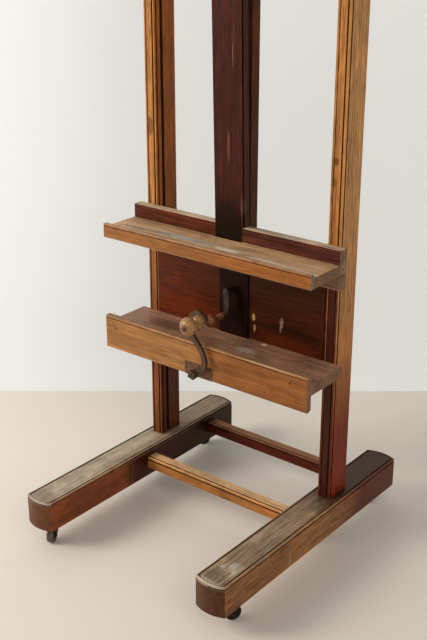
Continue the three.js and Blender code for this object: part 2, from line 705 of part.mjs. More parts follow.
function lockGrip() {
  const r = 3 + BORE_GAP;
  const profile = [[r, 40], [5, 40]];
  for (let k = 1; k <= 6; k++) {
    const t = (Math.PI * (k + 0.6)) / 7.6;
    profile.push([9 * Math.sin(t), 30.5 + 9 * Math.cos(t)]);
  }
  profile.push([5, 21], [7.2, 19], [7.2, 15], [5, 13], [5, 8], [7, 6.5]);
  for (let k = 1; k <= 9; k++) {
    const t = (Math.PI * (k + 0.8)) / 10.8;
    profile.push([16 * Math.sin(t), -8 + 15.5 * Math.cos(t)]);
  }
  profile.push([5, -24], [r, -24], [r, 40]);
  return turned(profile.reverse(), 24).translate(LOCK_GRIP.x, 0, LOCK_GRIP.y);
}

function addLock() {
  add("lock_screw", lockScrew(), "iron");
  add("lock_arm", lockArm(), "iron");
  add("lock_grip_pin", gripPin(3, 4.8, -24.4, LOCK_ARM_Y[1] + 0.3).translate(LOCK_GRIP.x, 0, LOCK_GRIP.y), "iron");
  add("lock_grip", lockGrip(), "turned");
  const shoe = block(CENTRE_X - 30, CENTRE_X + 30, POST_Y0 - 4.9, POST_Y0 - 0.5, LOCK_Z - 18, LOCK_Z + 18);
  add("lock_shoe", shoe, "iron");
}

// ---- mast and canvas clamp ----------------------------------------------------------------
// drawn upright with the pin at the origin and the front face at y = -MAST_D / 2, then leaned
function lean(geometry) {
  return geometry.rotateX((MAST_LEAN * Math.PI) / 180).translate(CENTRE_X, MAST_PIN_Y, MAST_PIN_Z);
}

function mast() {
  const half = MAST_W / 2;
  const front = -MAST_D / 2;
  const g0 = front + MAST_LIP;
  const [gw, gd] = MAST_GROOVE;
  const right = [
    V(half - 1.2, front), V(half, front + 1.2), V(half, g0), V(half - gd, g0), V(half - gd, g0 + gw),
    V(half, g0 + gw), V(half, -front),
  ];
  const board = alongZ(polygon([...right, ...mirrorX(right)]), -MAST_D / 2, MAST_LEN);
  const arc = [];
  for (let k = 0; k <= 12; k++) {
    const t = (Math.PI * k) / 12;
    arc.push(V(front * Math.cos(t), front * Math.sin(t)));
  }
  const waste = alongX(polygon([V(-20, 0), V(-20, -20), V(20, -20), V(20, 0), ...arc.reverse()]), -60, 60);
  return cut(board, waste, alongX(polygon(circle(0, 0, 4 + BORE_GAP)), -60, 60));
}

function clampBlock() {
  const half = MAST_W / 2;
  const front = -MAST_D / 2;
  const [gw, gd] = MAST_GROOVE;
  const hook = front + MAST_LIP + SLIDE_GAP;
  const right = [
    V(half + 12, front - 24), V(half + 12, front + MAST_LIP + gw - SLIDE_GAP),
    V(half - gd + 1, front + MAST_LIP + gw - SLIDE_GAP), V(half - gd + 1, hook), V(half + SLIDE_GAP, hook),
    V(half + SLIDE_GAP, front - SLIDE_GAP),
  ];
  const body = alongZ(polygon([...right, ...mirrorX(right)]), 0, 64);
  return cut(body, disc(0, 32, 5 + BORE_GAP, front - 40, front + 10, 24));
}

function clampJaw() {
  const back = -MAST_D / 2 - 24 - JOINT_GAP;
  const section = polygon([
    V(back, 4), V(back, 30), V(back - 4, 34), V(back - 46, 34), V(back - 50, 30), V(back - 50, -8),
    V(back - 44, -12), V(back - 40, -8), V(back - 36, 4),
  ]);
  const g = alongX(section, -75, 75);
  return cut(g, block(-23, 23, back - 60, back + 5, 14, 60));
}

function clampScrew() {
  const tip = -MAST_D / 2 - 0.5;
  const back = -MAST_D / 2 - 24;
  const shank = turned([[0, back - 22], [5, back - 22], [5, tip - 1], [4, tip], [0, tip]], 24);
  const collar = turned([[0, back - 5], [9, back - 5], [9, back - 0.4], [0, back - 0.4]], 28);
  const wing = alongY(easedRect(-17, 17, -7, 7, [6, 6, 6, 6]), back - 26, back - 20);
  return joined(shank, collar, wing).translate(0, 0, 32);
}

function addMast() {
  add("mast", lean(mast()), "walnut_dark");
  const half = MAST_W / 2;
  const pin = alongX(polygon(circle(MAST_PIN_Y, MAST_PIN_Z, 4)), CENTRE_X - half - 28, CENTRE_X + half + 28);
  add("mast_pin", pin, "iron");
  const up = 800;
  add("clamp_block", lean(clampBlock().translate(0, 0, up)), "walnut_dark");
  add("clamp_jaw", lean(clampJaw().translate(0, 0, up)), "walnut");
  add("clamp_screw", lean(clampScrew().translate(0, 0, up)), "iron");
}

// ---- the whole easel ----------------------------------------------------------------------
add("base_rail_left", rail(-RAIL_X), "walnut");
add("base_rail_right", rail(RAIL_X), "walnut");
add("stretcher_front", stretcher(STRETCHER_FRONT), "walnut_light");
add("stretcher_rear", stretcher(STRETCHER_REAR), "walnut");
add("upright_right", alongZ(polygon(uprightSection()), RAIL_Z1 + JOINT_GAP, UPRIGHT_TOP), "walnut_light");
add("upright_left", alongZ(polygon(mirrorX(uprightSection())), RAIL_Z1 + JOINT_GAP, UPRIGHT_TOP), "walnut_light");
add("head_rail", headRail(), "walnut");
add("rack_post", rackPost(), "walnut_dark");
add("rack_strip", rackStrip(), "iron");
addCastors();
addCarriage();
addWinder();
addLock();
addMast();

export default group;
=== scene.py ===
# %% [markdown]
# # A studio easel on castors
# The easel is a joiner's piece in dark polished hardwood: two moulded foot rails on small iron
# castors, two tall uprights, a winding carriage with a canvas tray and a lower paint shelf, and a
# mast that cants forward. The engineering model already has every piece and every joint, so this
# file is about what age and use have done to it: eased arrises, grain, wax, rubbed edges, dirt and
# painted shade in the quirks, and spilled paint on the trays. Light and shade are painted into the
# wood in other places too: shaded faces are painted darker and the rail noses get painted
# highlights.

# %% Load the engineering model
import json
import math

import bmesh
import bpy
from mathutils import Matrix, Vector


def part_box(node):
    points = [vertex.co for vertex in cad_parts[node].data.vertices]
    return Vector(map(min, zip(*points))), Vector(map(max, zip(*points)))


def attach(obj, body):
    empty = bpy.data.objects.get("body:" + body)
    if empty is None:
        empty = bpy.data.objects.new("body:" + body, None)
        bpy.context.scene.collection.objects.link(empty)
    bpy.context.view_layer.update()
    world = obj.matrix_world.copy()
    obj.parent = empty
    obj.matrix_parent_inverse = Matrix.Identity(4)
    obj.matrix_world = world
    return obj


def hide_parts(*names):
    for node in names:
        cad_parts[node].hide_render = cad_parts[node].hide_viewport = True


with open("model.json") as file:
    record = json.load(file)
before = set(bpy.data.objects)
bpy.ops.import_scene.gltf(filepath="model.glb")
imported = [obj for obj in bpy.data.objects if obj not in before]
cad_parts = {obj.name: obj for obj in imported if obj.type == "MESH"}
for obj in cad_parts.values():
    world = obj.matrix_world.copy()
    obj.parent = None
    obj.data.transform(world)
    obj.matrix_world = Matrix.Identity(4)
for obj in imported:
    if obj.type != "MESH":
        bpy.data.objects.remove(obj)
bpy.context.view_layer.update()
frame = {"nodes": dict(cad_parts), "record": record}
slot_of = {row["node"]: row["material_slot"] for row in frame["record"]["subparts"]}
body_holding = {n: b for b, ns in frame["record"]["behaviour"]["bodies"].items() for n in ns}

# %% [markdown]
# ## Camera
# A long lens at head height looks down on the easel from its right front corner. It is aimed at
# the trays and the base, where the working parts are, so the tall uprights run out of the frame.

# %% Camera
camera = bpy.data.objects.new("camera", bpy.data.cameras.new("camera"))
bpy.context.scene.collection.objects.link(camera)
camera.location = (1.448913, -1.823114, 1.484963)
camera.rotation_euler = (math.radians(90 - 22.021), 0, math.radians(38.644))
camera.data.lens = 60.578
camera.data.clip_end = 60
bpy.context.scene.camera = camera

# %% [markdown]
# ## Room and light
# The room is a plain pale floor and a plain off-white wall. Daylight comes from the left and the
# front through a big window, which a large soft area lamp stands in for, and the white room fills
# the shadows. The wall is one-sided, so it is out of the way when the easel is seen from behind.

# %% Helpers for colours and shader nodes
def tone(code):
    """Linear colour of a paint-chart code such as 8A5A33."""
    parts = [int(code[i:i + 2], 16) / 255 for i in (0, 2, 4)]
    linear = [c / 12.92 if c <= 0.04045 else ((c + 0.055) / 1.055) ** 2.4 for c in parts]
    return (*linear, 1.0)


def any_node(tree, kind, settings=None, **plugs):
    """Adds a node; each plug is an input's name, or i0, i1 ... for its number."""
    made = tree.nodes.new(kind)
    for key, value in (settings or {}).items():
        setattr(made, key, value)
    for key, value in plugs.items():
        number = key[0] == "i" and key[1:].isdigit()
        socket = made.inputs[int(key[1:]) if number else key.replace("_", " ")]
        if isinstance(value, bpy.types.NodeSocket):
            tree.links.new(value, socket)
        else:
            socket.default_value = value
    return made


def place(tree, kind, settings=None, **plugs):
    """Adds a shader node."""
    return any_node(tree, "ShaderNode" + kind, settings, **plugs)


def sums(tree, operation, *terms, clamp=False):
    """A Math node's output."""
    plugs = {f"i{i}": t for i, t in enumerate(terms)}
    return place(tree, "Math", {"operation": operation, "use_clamp": clamp}, **plugs).outputs[0]


def blended(tree, share, a, b, how="MIX"):
    """Colour a turning into colour b."""
    made = place(tree, "Mix", {"data_type": "RGBA", "blend_type": how}, i0=share, i6=a, i7=b)
    return made.outputs[2]


def band(tree, value, low, high, a=0.0, b=1.0):
    """Value stretched so that low gives a and high gives b, and held there outside them."""
    made = place(tree, "MapRange", {"clamp": True}, i0=value, i1=low, i2=high, i3=a, i4=b)
    return made.outputs[0]


# %% Room and light
def plain(name, code, roughness):
    """A plain matt wall or floor finish."""
    finish = bpy.data.materials.new(name)
    finish.use_nodes = True
    shader = finish.node_tree.nodes["Principled BSDF"]
    shader.inputs["Base Color"].default_value = tone(code)
    shader.inputs["Roughness"].default_value = roughness
    return finish


def sheet_of(name, corners, finish):
    """One flat face that belongs to the room and not to the easel."""
    mesh = bpy.data.meshes.new(name)
    mesh.from_pydata([Vector(c) for c in corners], [], [tuple(range(len(corners)))])
    made = bpy.data.objects.new(name, mesh)
    mesh.materials.append(finish)
    bpy.context.scene.collection.objects.link(made)
    return made


FLOOR_HALF = 7
floor_finish = plain("pale_floor", "E0D8CC", 0.75)
turns = ((-1, -1), (1, -1), (1, 1), (-1, 1))
sheet_of("floor", [(x * FLOOR_HALF, y * FLOOR_HALF, 0) for x, y in turns], floor_finish)

wall_finish = plain("off_white_wall", "EAEEEE", 0.9)
tree = wall_finish.node_tree
tree.nodes["Principled BSDF"].inputs["Emission Color"].default_value = tone("F0F7FA")
tree.nodes["Principled BSDF"].inputs["Emission Strength"].default_value = 0.16
seen_from_behind = place(tree, "NewGeometry").outputs["Backfacing"]
through = place(tree, "BsdfTransparent").outputs[0]
matt = tree.nodes["Principled BSDF"].outputs[0]
one_sided = place(tree, "MixShader", i0=seen_from_behind, i1=matt, i2=through)
tree.links.new(one_sided.outputs[0], tree.nodes["Material Output"].inputs["Surface"])
WALL_AWAY = 0.744      # from the middle of the easel, square to the view
WALL_HALF = 4.5
WALL_HEIGHT = 3.6
away = Vector((-math.sin(camera.rotation_euler.z), math.cos(camera.rotation_euler.z), 0))
along = Vector((away.y, -away.x, 0)) * WALL_HALF
foot = away * WALL_AWAY
up = Vector((0, 0, WALL_HEIGHT))
sheet_of("wall", [foot - along, foot + along, foot + along + up, foot - along + up], wall_finish)

world = bpy.data.worlds.new("white_room")
bpy.context.scene.world = world
world.use_nodes = True
world.node_tree.nodes["Background"].inputs["Color"].default_value = tone("F2F4F6")
world.node_tree.nodes["Background"].inputs["Strength"].default_value = 0.36


def lamp(name, at, towards, size, power, code):
    """A rectangular area lamp that faces a point; power is in watts."""
    data = bpy.data.lights.new(name, "AREA")
    data.shape, data.size, data.size_y = "RECTANGLE", size[0], size[1]
    data.energy, data.color = power, tone(code)[:3]
    made = bpy.data.objects.new(name, data)
    made.location = at
    made.rotation_euler = (Vector(at) - Vector(towards)).to_track_quat("Z", "Y").to_euler()
    bpy.context.scene.collection.objects.link(made)
    return made


lamp("window", (-2.3, -2.5, 2.2), (0, 0, 0.7), (1.5, 1.7), 104, "FFFAF5")
lamp("room_bounce", (2.6, -1.6, 2.4), (0, 0, 0.6), (2.4, 2.4), 34, "FFF3E4")
bpy.context.scene.view_settings.view_transform = "Standard"
print("camera at", [round(v, 3) for v in camera.location], "wall at", round(foot.length, 3))

# %% [markdown]
# ## Wood grain
# All the timber is the same open-grained hardwood, so one node group draws it. The group reads a
# point, squeezed along the grain. Wide bands make the figure of a plain-sawn board, thin streaks
# make the fibre, and short dark dashes make the open pores. A piece only says which way its grain
# runs, what its tone is and how strongly each of these shows.

# %% Grain group
def group(name, inputs, outputs, kind_of_tree="ShaderNodeTree"):
    """A node group with named sockets; inputs are (name, kind, value)."""
    made = bpy.data.node_groups.new(name, kind_of_tree)
    for label, kind, value in inputs:
        socket = made.interface.new_socket(label, in_out="INPUT", socket_type="NodeSocket" + kind)
        if value is not None:
            socket.default_value = value
    for label, kind in outputs:
        made.interface.new_socket(label, in_out="OUTPUT", socket_type="NodeSocket" + kind)
    return made, made.nodes.new("NodeGroupInput").outputs, made.nodes.new("NodeGroupOutput").inputs


def hardwood_group():
    g, given, out = group("hardwood_grain", [
        ("Point", "Vector", None), ("Seed", "Float", 0.0), ("Tone", "Color", tone("8A5A33")),
        ("Figure", "Float", 0.6), ("Fibre", "Float", 0.5), ("Pores", "Float", 0.5),
        ("Blotch", "Float", 0.4)], [("Colour", "Color"), ("Height", "Float"), ("Dry", "Float")])
    shift = place(g, "CombineXYZ", X=given["Seed"], Y=sums(g, "MULTIPLY", given["Seed"], 1.7),
                  Z=sums(g, "MULTIPLY", given["Seed"], 0.31)).outputs[0]
    point = place(g, "VectorMath", {"operation": "ADD"}, i0=given["Point"], i1=shift).outputs[0]

    def squeezed(length):
        return place(g, "VectorMath", {"operation": "MULTIPLY"}, i0=point,
                     i1=(1.0, 1.0, length)).outputs[0]

    def cloud(vector, scale, detail=2.0, rough=0.5, warp=0.0):
        return place(g, "TexNoise", Vector=vector, Scale=scale, Detail=detail, Roughness=rough,
                     Distortion=warp).outputs[0]

    rings = place(g, "TexWave", {"wave_type": "RINGS", "rings_direction": "Z"},
                  Vector=squeezed(0.07), Scale=34.0, Distortion=9.0, Detail=3.0,
                  Detail_Scale=1.3, Detail_Roughness=0.6).outputs[1]
    drift = cloud(squeezed(0.05), 95.0, 4.0, 0.7, 0.7)
    figure = sums(g, "ADD", sums(g, "MULTIPLY", rings, 0.15), sums(g, "MULTIPLY", drift, 0.85))
    streaks = cloud(squeezed(0.03), 300.0, 3.0, 0.7)
    fibre = cloud(squeezed(0.018), 700.0, 2.0, 0.7)
    fibre = sums(g, "ADD", sums(g, "MULTIPLY", streaks, 0.6), sums(g, "MULTIPLY", fibre, 0.4))
    dashes = cloud(squeezed(0.05), 620.0, 1.0, 0.5)
    patches = cloud(squeezed(0.3), 22.0, 2.0)
    pores = sums(g, "MULTIPLY", band(g, dashes, 0.56, 0.68), band(g, patches, 0.35, 0.6, 0.25, 1.0))
    blotch = sums(g, "ADD", sums(g, "MULTIPLY", cloud(squeezed(0.5), 12.0, 5.0, 0.65, 0.6), 0.7),
                  sums(g, "MULTIPLY", cloud(squeezed(0.7), 55.0, 3.0, 0.6), 0.3))

    def swing(value, strength):
        return sums(g, "MULTIPLY", sums(g, "SUBTRACT", value, 0.5), strength)

    share = sums(g, "ADD", swing(figure, given["Figure"]), swing(fibre, given["Fibre"]))
    share = sums(g, "ADD", share, swing(blotch, given["Blotch"]))
    share = sums(g, "ADD", sums(g, "MULTIPLY", share, 1.6), 0.5, clamp=True)
    deep = blended(g, 1.0, given["Tone"], (0.24, 0.19, 0.16, 1), "MULTIPLY")
    bright = blended(g, 1.0, given["Tone"], (2.0, 1.84, 1.66, 1), "MULTIPLY")
    low = blended(g, band(g, share, 0.0, 0.5), deep, given["Tone"])
    colour = blended(g, band(g, share, 0.5, 1.0), low, bright)
    dark_pores = sums(g, "MULTIPLY", pores, given["Pores"])
    in_pore = blended(g, 1.0, colour, (0.30, 0.25, 0.22, 1), "MULTIPLY")
    colour = blended(g, dark_pores, colour, in_pore)
    height = sums(g, "SUBTRACT", sums(g, "MULTIPLY", fibre, 0.35), sums(g, "MULTIPLY", pores, 0.6))
    g.links.new(colour, out["Colour"])
    g.links.new(height, out["Height"])
    g.links.new(blotch, out["Dry"])
    return g


hardwood = hardwood_group()
print("grain group", len(hardwood.nodes), "nodes")

# %% [markdown]
# ## Wear, dirt, painted shade and dust
# Hands and years do three things. They rub the arrises and the beads bright, they pack dirt into
# the quirks and the corners, and they leave dull marks and small knocks on the flat faces. The
# quirks and corners are darkened for painted shade as well as dirt. The rubbed and the imported
# places are known from the shape, so each piece carries them as values on its face corners; the
# group breaks them up so that no edge is worn evenly.

# %% Wear group
def wear_group():
    """Rubbed edges, knocks, and nooks darkened with dirt and painted shade, from arris and nook
    values.
    """
    g, given, out = group("rubbed_grimy_and_shaded", [
        ("Point", "Vector", None), ("Colour", "Color", tone("8A5A33")), ("Rub", "Float", 0.6),
        ("Rubbed", "Color", tone("B98A5E")), ("Grime", "Float", 0.8), ("Marks", "Float", 0.3)],
        [("Colour", "Color"), ("Worn", "Float"), ("DirtAndShade", "Float")])

    def cloud(scale, detail=3.0, warp=0.3):
        return place(g, "TexNoise", Vector=given["Point"], Scale=scale, Detail=detail,
                     Roughness=0.6, Distortion=warp).outputs[0]

    arris = place(g, "Attribute", {"attribute_name": "arris"}).outputs["Fac"]
    nook = place(g, "Attribute", {"attribute_name": "nook"}).outputs["Fac"]
    patchy = band(g, cloud(38.0), 0.36, 0.62, 0.15, 1.0)
    worn = sums(g, "MULTIPLY", sums(g, "MULTIPLY", arris, patchy), given["Rub"], clamp=True)
    knocks = place(g, "TexVoronoi", {"feature": "F1"}, Vector=given["Point"], Scale=34.0,
                   Randomness=1.0).outputs[0]
    knocks = band(g, knocks, 0.10, 0.17, 1.0, 0.0)
    knocks = sums(g, "MULTIPLY", knocks, band(g, cloud(9.0), 0.5, 0.62))
    knocks = sums(g, "MULTIPLY", knocks, given["Marks"])
    # Painted shade and dirt: nook faces, the quirks and the carriage groove, are darkened towards
    # 140B07.
    dirt_and_shade = sums(g, "MULTIPLY", nook, given["Grime"], clamp=True)
    colour = blended(g, worn, given["Colour"], given["Rubbed"])
    colour = blended(g, knocks, colour, tone("2A1A12"))
    colour = blended(g, dirt_and_shade, colour, tone("140B07"))
    g.links.new(colour, out["Colour"])
    g.links.new(worn, out["Worn"])
    g.links.new(sums(g, "MAXIMUM", dirt_and_shade, knocks), out["DirtAndShade"])
    return g


rubbed = wear_group()
print("wear group", len(rubbed.nodes), "nodes")

# %% [markdown]
# ## Single marks
# Some marks belong to one place: a drip, a scrape, a saw kerf, a plugged screw hole. Each could be
# painted on an image, but a small node group does it with a centre and three half sizes. Inside
# that egg the colour changes, and noise tears its edge, so that it doesn't look like an egg.

# %% Marks group
def mark_group():
    """One stain, scrape or drip with a torn edge, at a place on the object."""
    g, given, out = group("one_mark", [
        ("Point", "Vector", None), ("Colour", "Color", tone("8A5A33")), ("Centre", "Vector", None),
        ("Size", "Vector", None), ("Paint", "Color", tone("C9C6BC")), ("Strength", "Float", 1.0),
        ("Ragged", "Float", 0.5)], [("Colour", "Color")])
    offset = place(g, "VectorMath", {"operation": "SUBTRACT"},
                   i0=given["Point"], i1=given["Centre"]).outputs[0]
    scaled = place(g, "VectorMath", {"operation": "DIVIDE"}, i0=offset, i1=given["Size"]).outputs[0]
    reach = place(g, "VectorMath", {"operation": "LENGTH"}, i0=scaled).outputs["Value"]
    torn = place(g, "TexNoise", Vector=given["Point"], Scale=260.0, Detail=5.0,
                 Roughness=0.7).outputs[0]
    torn = sums(g, "SUBTRACT", torn, 0.5)
    torn = sums(g, "MULTIPLY", torn, sums(g, "MULTIPLY", given["Ragged"], 3.0))
    cover = band(g, sums(g, "ADD", reach, torn), 0.7, 1.1, 1.0, 0.0)
    cover = sums(g, "MULTIPLY", cover, given["Strength"])
    g.links.new(blended(g, cover, given["Colour"], given["Paint"]), out["Colour"])
    return g


one_mark = mark_group()


def marked(*marks):
    """An extra for timber(). Each mark is (centre, half sizes, code, strength, raggedness)."""
    def extra(t, point, colour):
        for centre, size, code, strength, ragged in marks:
            colour = place(t, "Group", {"node_tree": one_mark}, Point=point, Colour=colour,
                           Centre=centre, Size=size, Paint=tone(code), Strength=strength,
                           Ragged=ragged).outputs["Colour"]
        return colour
    return extra


print("mark group", len(one_mark.nodes), "nodes")

# %% [markdown]
# ## One timber finish, many pieces
# A finish is made for each piece, because each board took the polish and the daylight its own way:
# fronts that face the window are pale, faces in the shade are dark and red, and tops are painted
# grey for the sheen of the bright room on them. Part of that difference is only light: painted
# light on the lit faces and painted shade on the shaded ones. It is put into the wood here, because
# plain studio lamps are too even to give it, and the price is that a shaded face stays dark under
# any other lamp. Which way a face looks is a value on its corners, like the wear.

# %% Timber finish
GRAIN_TURN = {"x": (0, math.pi / 2, 0), "y": (math.pi / 2, 0, 0), "z": (0, 0, 0)}


def tone_along(t, coordinate, tones):
    """One colour, or colours at places along the board, each (metres, code)."""
    if isinstance(tones, str):
        return tone(tones)
    colour = tone(tones[0][1])
    for (start, _), (end, code) in zip(tones, tones[1:]):
        colour = blended(t, band(t, coordinate, start, end), colour, tone(code))
    return colour


def timber(name, run, side, front=None, top=None, outer=None, back=None, seed=0.0,
           figure=0.55, fibre=0.8, pores=0.6, blotch=0.9, rub=0.6, grime=0.9, marks=0.3,
           gloss=0.48, shine=0.35, extra=None):
    """A hardwood finish. run is the way the grain goes. side, front, top, outer (looking away from
    the middle of the easel) and back are paint-chart codes, or lists of them along the board."""
    finish = bpy.data.materials.new(name)
    finish.use_nodes = True
    t = finish.node_tree
    shader = t.nodes["Principled BSDF"]
    point = place(t, "TexCoord").outputs["Object"]
    grain_point = place(t, "Mapping", Vector=point, Rotation=GRAIN_TURN[run]).outputs[0]
    ruler = place(t, "SeparateXYZ", Vector=point).outputs["xyz".index(run)]
    base = tone_along(t, ruler, side)
    for way, tones in (("outer", outer), ("back", back), ("front", front), ("top", top)):
        if tones:
            looks = place(t, "Attribute", {"attribute_name": way}).outputs["Fac"]
            base = blended(t, looks, base, tone_along(t, ruler, tones))
    grain = place(t, "Group", {"node_tree": hardwood}, Point=grain_point, Seed=seed, Tone=base,
                  Figure=figure, Fibre=fibre, Pores=pores, Blotch=blotch).outputs
    colour = grain["Colour"]
    if extra:
        colour = extra(t, point, colour)
    paler = blended(t, 1.0, base, (1.9, 1.85, 1.8, 1), "MULTIPLY")
    worn = place(t, "Group", {"node_tree": rubbed}, Point=point, Colour=colour, Rub=rub,
                 Rubbed=blended(t, 0.12, paler, tone("B58C62")), Grime=grime, Marks=marks).outputs
    t.links.new(worn["Colour"], shader.inputs["Base Color"])
    dull = sums(t, "ADD", sums(t, "MULTIPLY", grain["Dry"], 0.30), gloss - 0.15)
    dull = sums(t, "ADD", dull, sums(t, "MULTIPLY", worn["DirtAndShade"], 0.35), clamp=True)
    t.links.new(dull, shader.inputs["Roughness"])
    shader.inputs["Specular IOR Level"].default_value = shine
    shader.inputs["Specular Tint"].default_value = (1.0, 0.62, 0.36, 1.0)
    bump = place(t, "Bump", Strength=0.5, Distance=0.0005, Height=grain["Height"])
    t.links.new(bump.outputs[0], shader.inputs["Normal"])
    return finish


# %% [markdown]
# ## Dressing the pieces
# A sawn and planed board never has a perfect corner. Each solid is copied, its loose triangles are
# welded, and every outer corner is eased with a small bevel. The bevel faces and the
# scratch beads are remembered as rubbed, the quirks beside the beads as nooks for dirt and painted
# shade, and the faces that look forward or up are remembered too, for the timber finish.

# %% Dressing
def narrow(face):
    """Width of a strip-like face."""
    return face.calc_area() / max(e.calc_length() for e in face.edges)


def inside(point, room):
    return room is not None and all(lo <= p <= hi for p, lo, hi in zip(point, *room))


def dressed(node, finish, ease=0.0009, strip=0.0036, groove=None):
    """A copy of a solid with eased arrises, standing for it. Faces in the groove box are dark."""
    bm = bmesh.new()
    bm.from_mesh(frame["nodes"][node].data)
    bmesh.ops.remove_doubles(bm, verts=bm.verts, dist=2e-6)
    bmesh.ops.dissolve_limit(bm, angle_limit=math.radians(0.3), verts=bm.verts, edges=bm.edges)
    hollow = {v.index for e in bm.edges if len(e.link_faces) == 2
              and not e.is_convex and e.calc_face_angle(0) > math.radians(25) for v in e.verts}
    slim = {f: narrow(f) < strip and max(e.calc_length() for e in f.edges) > 0.04 for f in bm.faces}
    marks = {k: bm.loops.layers.float.new(k)
             for k in ("arris", "nook", "front", "top", "outer", "back")}
    for f in bm.faces:
        nook = slim[f] and sum(v.index in hollow for v in f.verts) * 2 >= len(f.verts)
        middle = f.calc_center_median()
        # Faces in the carriage groove are nooks as well, for the painted shade deep in the groove.
        nook = nook or inside(middle, groove)
        for loop in f.loops:
            loop[marks["nook"]] = float(nook)
            loop[marks["arris"]] = float(slim[f] and not nook)
            loop[marks["front"]] = float(f.normal.y < -0.8)
            loop[marks["top"]] = float(f.normal.z > 0.8)
            loop[marks["outer"]] = float(f.normal.x * middle.x > 0.8 * abs(middle.x))
            loop[marks["back"]] = float(f.normal.y > 0.8)
    corners = [e for e in bm.edges if len(e.link_faces) == 2 and e.is_convex
               and e.calc_face_angle(0) > math.radians(35)]
    eased = bmesh.ops.bevel(bm, geom=corners, offset=ease, segments=2, profile=0.5,
                            clamp_overlap=True, affect="EDGES")["faces"]
    strips = set(eased)
    for f in eased:
        for loop in f.loops:
            loop[marks["arris"]] = 1.0
    for f in bm.faces:
        f.smooth = True
    for e in bm.edges:
        soft = all(f in strips or slim.get(f) for f in e.link_faces)
        e.smooth = soft and e.calc_face_angle(0) < math.radians(40)
    mesh = bpy.data.meshes.new(node + "_dressed")
    bm.to_mesh(mesh)
    bm.free()
    made = bpy.data.objects.new(node + "_dressed", mesh)
    bpy.context.scene.collection.objects.link(made)
    mesh.materials.append(finish)
    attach(made, body_holding[node])
    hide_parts(node)
    return made


# %% [markdown]
# ## Base rails
# Two heavy rails carry the easel, each with a rounded nose and a scratch bead along its upper edge.
# They could be drawn with one brown finish, but their tops are painted grey for the sheen of the
# bright room, and they are painted dark towards the back, where the uprights, the panel and the
# trays shade them. So each rail's tones change along its length, and the paint spots, the pale
# scrape, the saw kerf and a painted highlight on each nose are marks at places on the rail.

# %% Base rails
# Each mark is its centre, its half sizes, its code, its strength and how ragged it is.
# Painted shade: the left rail's inner side goes nearly black towards the back and its top darkens
# there; the grey of the top is painted sheen.
left_rail = timber("left_rail_timber", "y",
                   side=[(-0.10, "7C3C1B"), (-0.05, "380501"), (0.2, "1D0601")], front="58301E",
                   top=[(-0.3, "A09280"), (0.05, "A49680"), (0.2, "776654")],
                   outer="85583A", back="7A5036", seed=1.3,
                   rub=0.8, shine=0.4, grime=0.55, figure=0.4, gloss=0.42, extra=marked(
    ((-0.222, -0.076, 0.0855), (0.004, 0.0027, 0.040), "160B06", 1.0, 0.12),
    ((-0.223, -0.139, 0.1225), (0.006, 0.010, 0.007), "120A06", 0.95, 0.5),
    ((-0.225, -0.122, 0.1235), (0.005, 0.008, 0.005), "B07C42", 0.85, 0.5),
    ((-0.279, -0.281, 0.127), (0.004, 0.004, 0.003), "C6BFB0", 0.7, 0.6),
    ((-0.260, -0.296, 0.127), (0.007, 0.010, 0.003), "B9B4A6", 0.55, 0.9),
    # Painted highlight: a pale streak along the bead of the nose, where the polish catches the
    # window.
    ((-0.262, -0.356, 0.1250), (0.050, 0.016, 0.0030), "CFC4B4", 0.6, 0.7),
    ((-0.262, -0.335, 0.127), (0.050, 0.030, 0.003), "3A2A20", 0.45, 0.8),
    ((-0.235, 0.02, 0.127), (0.020, 0.20, 0.003), "6E5038", 0.5, 0.8)))
# Painted shadow: the right rail's side and top go dark towards the back, in the shade of the panel
# and the trays; the grey of the top is painted sheen.
right_rail = timber("right_rail_timber", "y",
                    side=[(-0.35, "895A36"), (0.05, "946439"), (0.2, "551803")], front="4A2616",
                    top=[(-0.3, "9B876F"), (0.0, "806850"), (0.12, "240702")], seed=5.3,
                    rub=0.8, shine=0.4, grime=0.55, fibre=1.5, pores=1.0, figure=0.7, gloss=0.42,
                    extra=marked(
    ((0.243, -0.352, 0.127), (0.012, 0.010, 0.003), "B5B1A6", 0.7, 0.9),
    ((0.249, -0.290, 0.127), (0.006, 0.006, 0.003), "C2BFB2", 0.75, 0.6),
    ((0.268, -0.276, 0.127), (0.010, 0.016, 0.003), "C4C1B4", 0.8, 0.9),
    ((0.280, -0.292, 0.127), (0.005, 0.008, 0.003), "BDBAAF", 0.7, 0.6),
    ((0.244, -0.167, 0.127), (0.010, 0.012, 0.003), "A09A8C", 0.4, 1.0),
    ((0.262, -0.230, 0.127), (0.036, 0.060, 0.003), "4A3526", 0.4, 1.1),
    ((0.262, -0.330, 0.127), (0.034, 0.030, 0.003), "33241A", 0.5, 1.0),
    # Painted highlight: a pale streak along the bead of the nose, where the polish catches the
    # window.
    ((0.262, -0.356, 0.1250), (0.050, 0.016, 0.0030), "CFC4B4", 0.6, 0.7),
    ((0.302, -0.112, 0.073), (0.004, 0.0020, 0.026), "C0A184", 0.7, 0.12),
    ((0.302, -0.050, 0.053), (0.004, 0.160, 0.0055), "B26C36", 0.55, 0.3)))
for node, finish in (("base_rail_left", left_rail), ("base_rail_right", right_rail)):
    made = dressed(node, finish)
    print(node, "has", len(made.data.polygons), "faces")

# %% [markdown]
# ## Stretchers
# Two light rails tie the base together. The front one stands in the daylight and has bleached to
# honey; the rear one is in the shade of the panel, and its dark red is partly that shade, painted
# into its tone. Two finishes with their own side and top tones are enough, as the moulded edges get
# their wear from the dressing.

# %% Stretchers
front_stretcher = timber("front_stretcher_timber", "x", side="A36A37", top="C19A6C", seed=4.1)
# Painted shade: the rear stretcher's dark red stands partly for the shade of the panel.
rear_stretcher = timber("rear_stretcher_timber", "x", side="4C1203", top="825735", seed=7.7)
for node, finish in (("stretcher_front", front_stretcher), ("stretcher_rear", rear_stretcher)):
    made = dressed(node, finish)
    print(node, "has", len(made.data.polygons), "faces")
